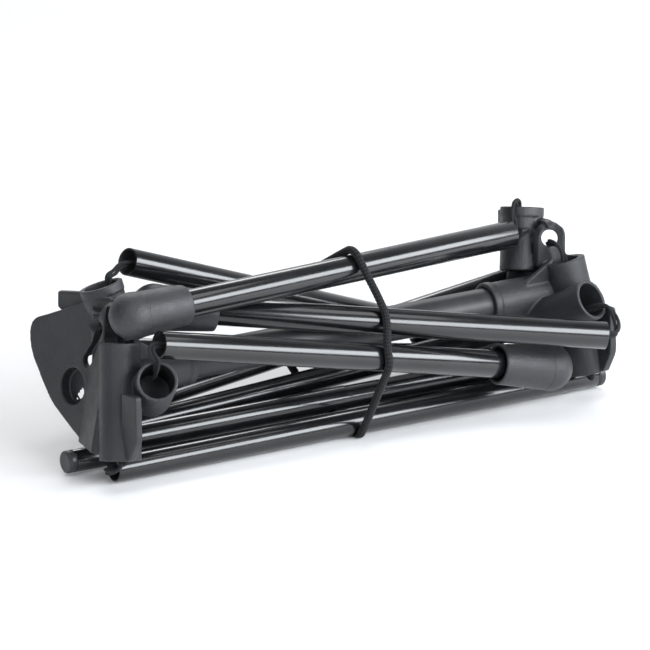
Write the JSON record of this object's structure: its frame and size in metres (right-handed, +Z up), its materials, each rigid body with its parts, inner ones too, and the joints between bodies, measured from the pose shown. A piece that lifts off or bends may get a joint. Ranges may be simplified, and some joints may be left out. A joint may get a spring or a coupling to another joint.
{
  "type": "packed folding pole frame",
  "caption": "Packed frame of shock-corded black poles: moulded end hubs on a cross bar, ball-footed legs and thin uprights, held by an elastic loop.",
  "frame": {"origin": "middle of the bounding box's base, on the floor the packed bundle lies on", "axes": "+X along the bundle from the left hub to the right hub, +Y away from the front, +Z up"},
  "size_m": [0.35, 0.1526, 0.1234],
  "materials": {
    "hub_plastic": "fine-textured matt charcoal",
    "bar_paint": "satin black",
    "tube_paint": "gloss black",
    "foot_rubber": "fine-textured matt",
    "plug_plastic": "satin",
    "ferrule_metal": "brushed",
    "cord_fabric": "woven elastic"
  },
  "bodies": {
    "frame": {"left_hub": "hub_plastic", "right_hub": "hub_plastic", "cross_bar": "bar_paint", "upper_right_leg_cord": "cord_fabric", "upper_left_leg_cord": "cord_fabric", "front_right_leg_cord": "cord_fabric", "front_left_leg_cord": "cord_fabric", "front_left_pole_cord": "cord_fabric", "front_right_pole_cord": "cord_fabric", "rear_left_lower_pole_cord": "cord_fabric", "rear_right_lower_pole_cord": "cord_fabric", "rear_left_link_cord": "cord_fabric"},
    "upper_right_leg": {"upper_right_leg_tube": "tube_paint", "upper_right_leg_foot": "foot_rubber"},
    "upper_left_leg": {"upper_left_leg_tube": "tube_paint", "upper_left_leg_foot": "foot_rubber"},
    "front_right_leg": {"front_right_leg_tube": "tube_paint", "front_right_leg_foot": "foot_rubber"},
    "front_left_leg": {"front_left_leg_tube": "tube_paint", "front_left_leg_foot": "foot_rubber"},
    "front_left_pole": {"front_left_pole_tube": "tube_paint", "front_left_pole_plug": "plug_plastic"},
    "front_right_pole": {"front_right_pole_tube": "tube_paint", "front_right_pole_plug": "plug_plastic"},
    "rear_left_lower_pole": {"rear_left_lower_pole_tube": "tube_paint", "rear_left_lower_pole_ferrule": "ferrule_metal"},
    "rear_left_upper_pole": {"rear_left_upper_pole_tube": "tube_paint", "rear_left_upper_pole_plug": "plug_plastic"},
    "rear_right_pole": {"rear_right_lower_pole_tube": "tube_paint", "rear_right_lower_pole_ferrule": "ferrule_metal", "rear_right_upper_pole_tube": "tube_paint", "rear_right_upper_pole_plug": "plug_plastic", "rear_right_link_cord": "cord_fabric"},
    "elastic_loop": {"elastic_loop": "cord_fabric"}
  },
  "joints": [
    {"name": "upper_right_leg_swing", "type": "hinge", "parent": "frame", "child": "upper_right_leg", "pos_m": [0.12121, 0.00269, 0.0999], "axis": [-0.3509, 0.7419, 0.5714], "range_deg": [0, 120], "deforming": ["upper_right_leg_cord"]},
    {"name": "upper_left_leg_swing", "type": "hinge", "parent": "frame", "child": "upper_left_leg", "pos_m": [-0.12768, 0.02925, 0.11735], "axis": [0.669, -0.0799, 0.7389], "range_deg": [0, 120], "deforming": ["upper_left_leg_cord"]},
    {"name": "front_right_leg_swing", "type": "hinge", "parent": "frame", "child": "front_right_leg", "pos_m": [0.1402, -0.06987, 0.05418], "axis": [0.006, 0.293, 0.9561], "range_deg": [0, 110], "deforming": ["front_right_leg_cord"]},
    {"name": "front_left_leg_swing", "type": "hinge", "parent": "frame", "child": "front_left_leg", "pos_m": [-0.14958, -0.03994, 0.08938], "axis": [-0.399, -0.134, -0.9071], "range_deg": [0, 110], "deforming": ["front_left_leg_cord"]},
    {"name": "front_left_pole_swing", "type": "hinge", "parent": "frame", "child": "front_left_pole", "pos_m": [-0.16187, -0.01024, 0.00823], "axis": [-0.3509, 0.7419, 0.5714], "range_deg": [0, 100], "deforming": ["front_left_pole_cord"]},
    {"name": "front_right_pole_swing", "type": "hinge", "parent": "frame", "child": "front_right_pole", "pos_m": [0.16333, 0.01541, 0.00773], "axis": [-0.34, -0.67, -0.66], "range_deg": [0, 100], "deforming": ["front_right_pole_cord"]},
    {"name": "rear_left_lower_pole_swing", "type": "hinge", "parent": "frame", "child": "rear_left_lower_pole", "pos_m": [-0.12961, 0.05972, 0.05628], "axis": [0.054, -0.4759, 0.8778], "range_deg": [0, 30], "deforming": ["rear_left_lower_pole_cord", "rear_left_link_cord"]},
    {"name": "rear_right_pole_swing", "type": "hinge", "parent": "frame", "child": "rear_right_pole", "pos_m": [0.14629, 0.03334, 0.06298], "axis": [-0.6708, 0.101, -0.7348], "range_deg": [0, 24], "deforming": ["rear_right_lower_pole_cord"]},
    {"name": "rear_left_upper_pole_swing", "type": "hinge", "parent": "frame", "child": "rear_left_upper_pole", "pos_m": [0.15133, 0.00683, 0.01883], "axis": [-0.146, 0.402, 0.9039], "range_deg": [0, 6.5]},
    {"name": "elastic_loop_slide", "type": "slide", "parent": "frame", "child": "elastic_loop", "axis": [1, 0, 0], "range_m": [-0.03, 0.03], "deforming": ["elastic_loop"]}
  ],
  "couplings": [
    {"joint": "front_right_leg_swing", "follows": "upper_right_leg_swing", "ratio": 0.91667},
    {"joint": "front_left_leg_swing", "follows": "upper_right_leg_swing", "ratio": 0.91667},
    {"joint": "rear_left_lower_pole_swing", "follows": "upper_left_leg_swing", "ratio": 0.25},
    {"joint": "rear_right_pole_swing", "follows": "upper_left_leg_swing", "ratio": 0.2}
  ]
}
